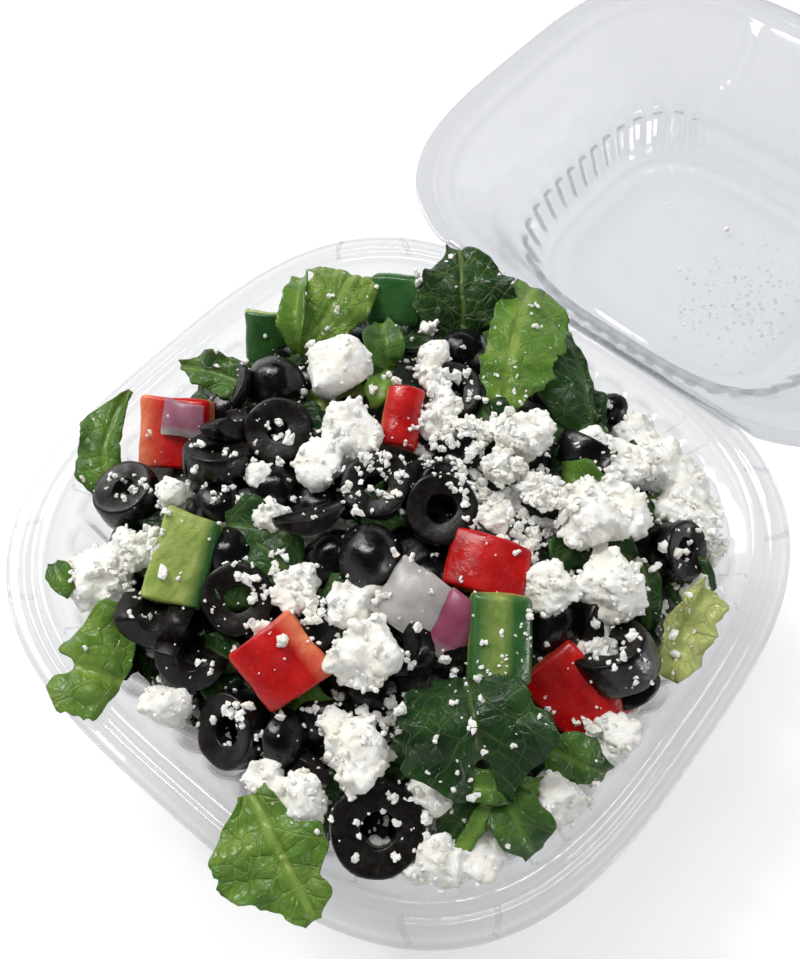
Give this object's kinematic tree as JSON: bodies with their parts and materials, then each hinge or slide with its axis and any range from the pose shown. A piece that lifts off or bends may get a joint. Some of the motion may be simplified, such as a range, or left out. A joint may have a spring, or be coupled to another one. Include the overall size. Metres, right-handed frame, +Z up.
{
  "type": "greek salad in a hinged clear takeaway box",
  "caption": "Greek salad of lettuce, olives, peppers, red onion and crumbled feta heaped in a clear hinged takeaway box with its lid open.",
  "frame": {"origin": "centre of the tray's flat base, on the surface it stands on", "axes": "+Z up, +Y from the tray's front edge towards the hinge and the open lid, +X to the right along the hinge"},
  "size_m": [0.151, 0.3006, 0.0649],
  "materials": {
    "clear_tray": "clear thin moulded plastic sheet, glossy, faint cool tint",
    "clear_lid": "clear thin moulded plastic sheet, glossy, with fine condensation on its top panel",
    "mixed_salad": "moist mixed food: green leaves, black olives, red and green pepper, red onion, white crumbled cheese"
  },
  "bodies": {
    "box": {"tray": "clear_tray", "salad": "mixed_salad"},
    "lid": {"lid": "clear_lid"}
  },
  "joints": [
    {"name": "lid_hinge", "type": "hinge", "parent": "box", "child": "lid", "pos_m": [0, 0.071, 0.0394], "axis": [1, 0, 0], "range_deg": [0, 150]}
  ]
}
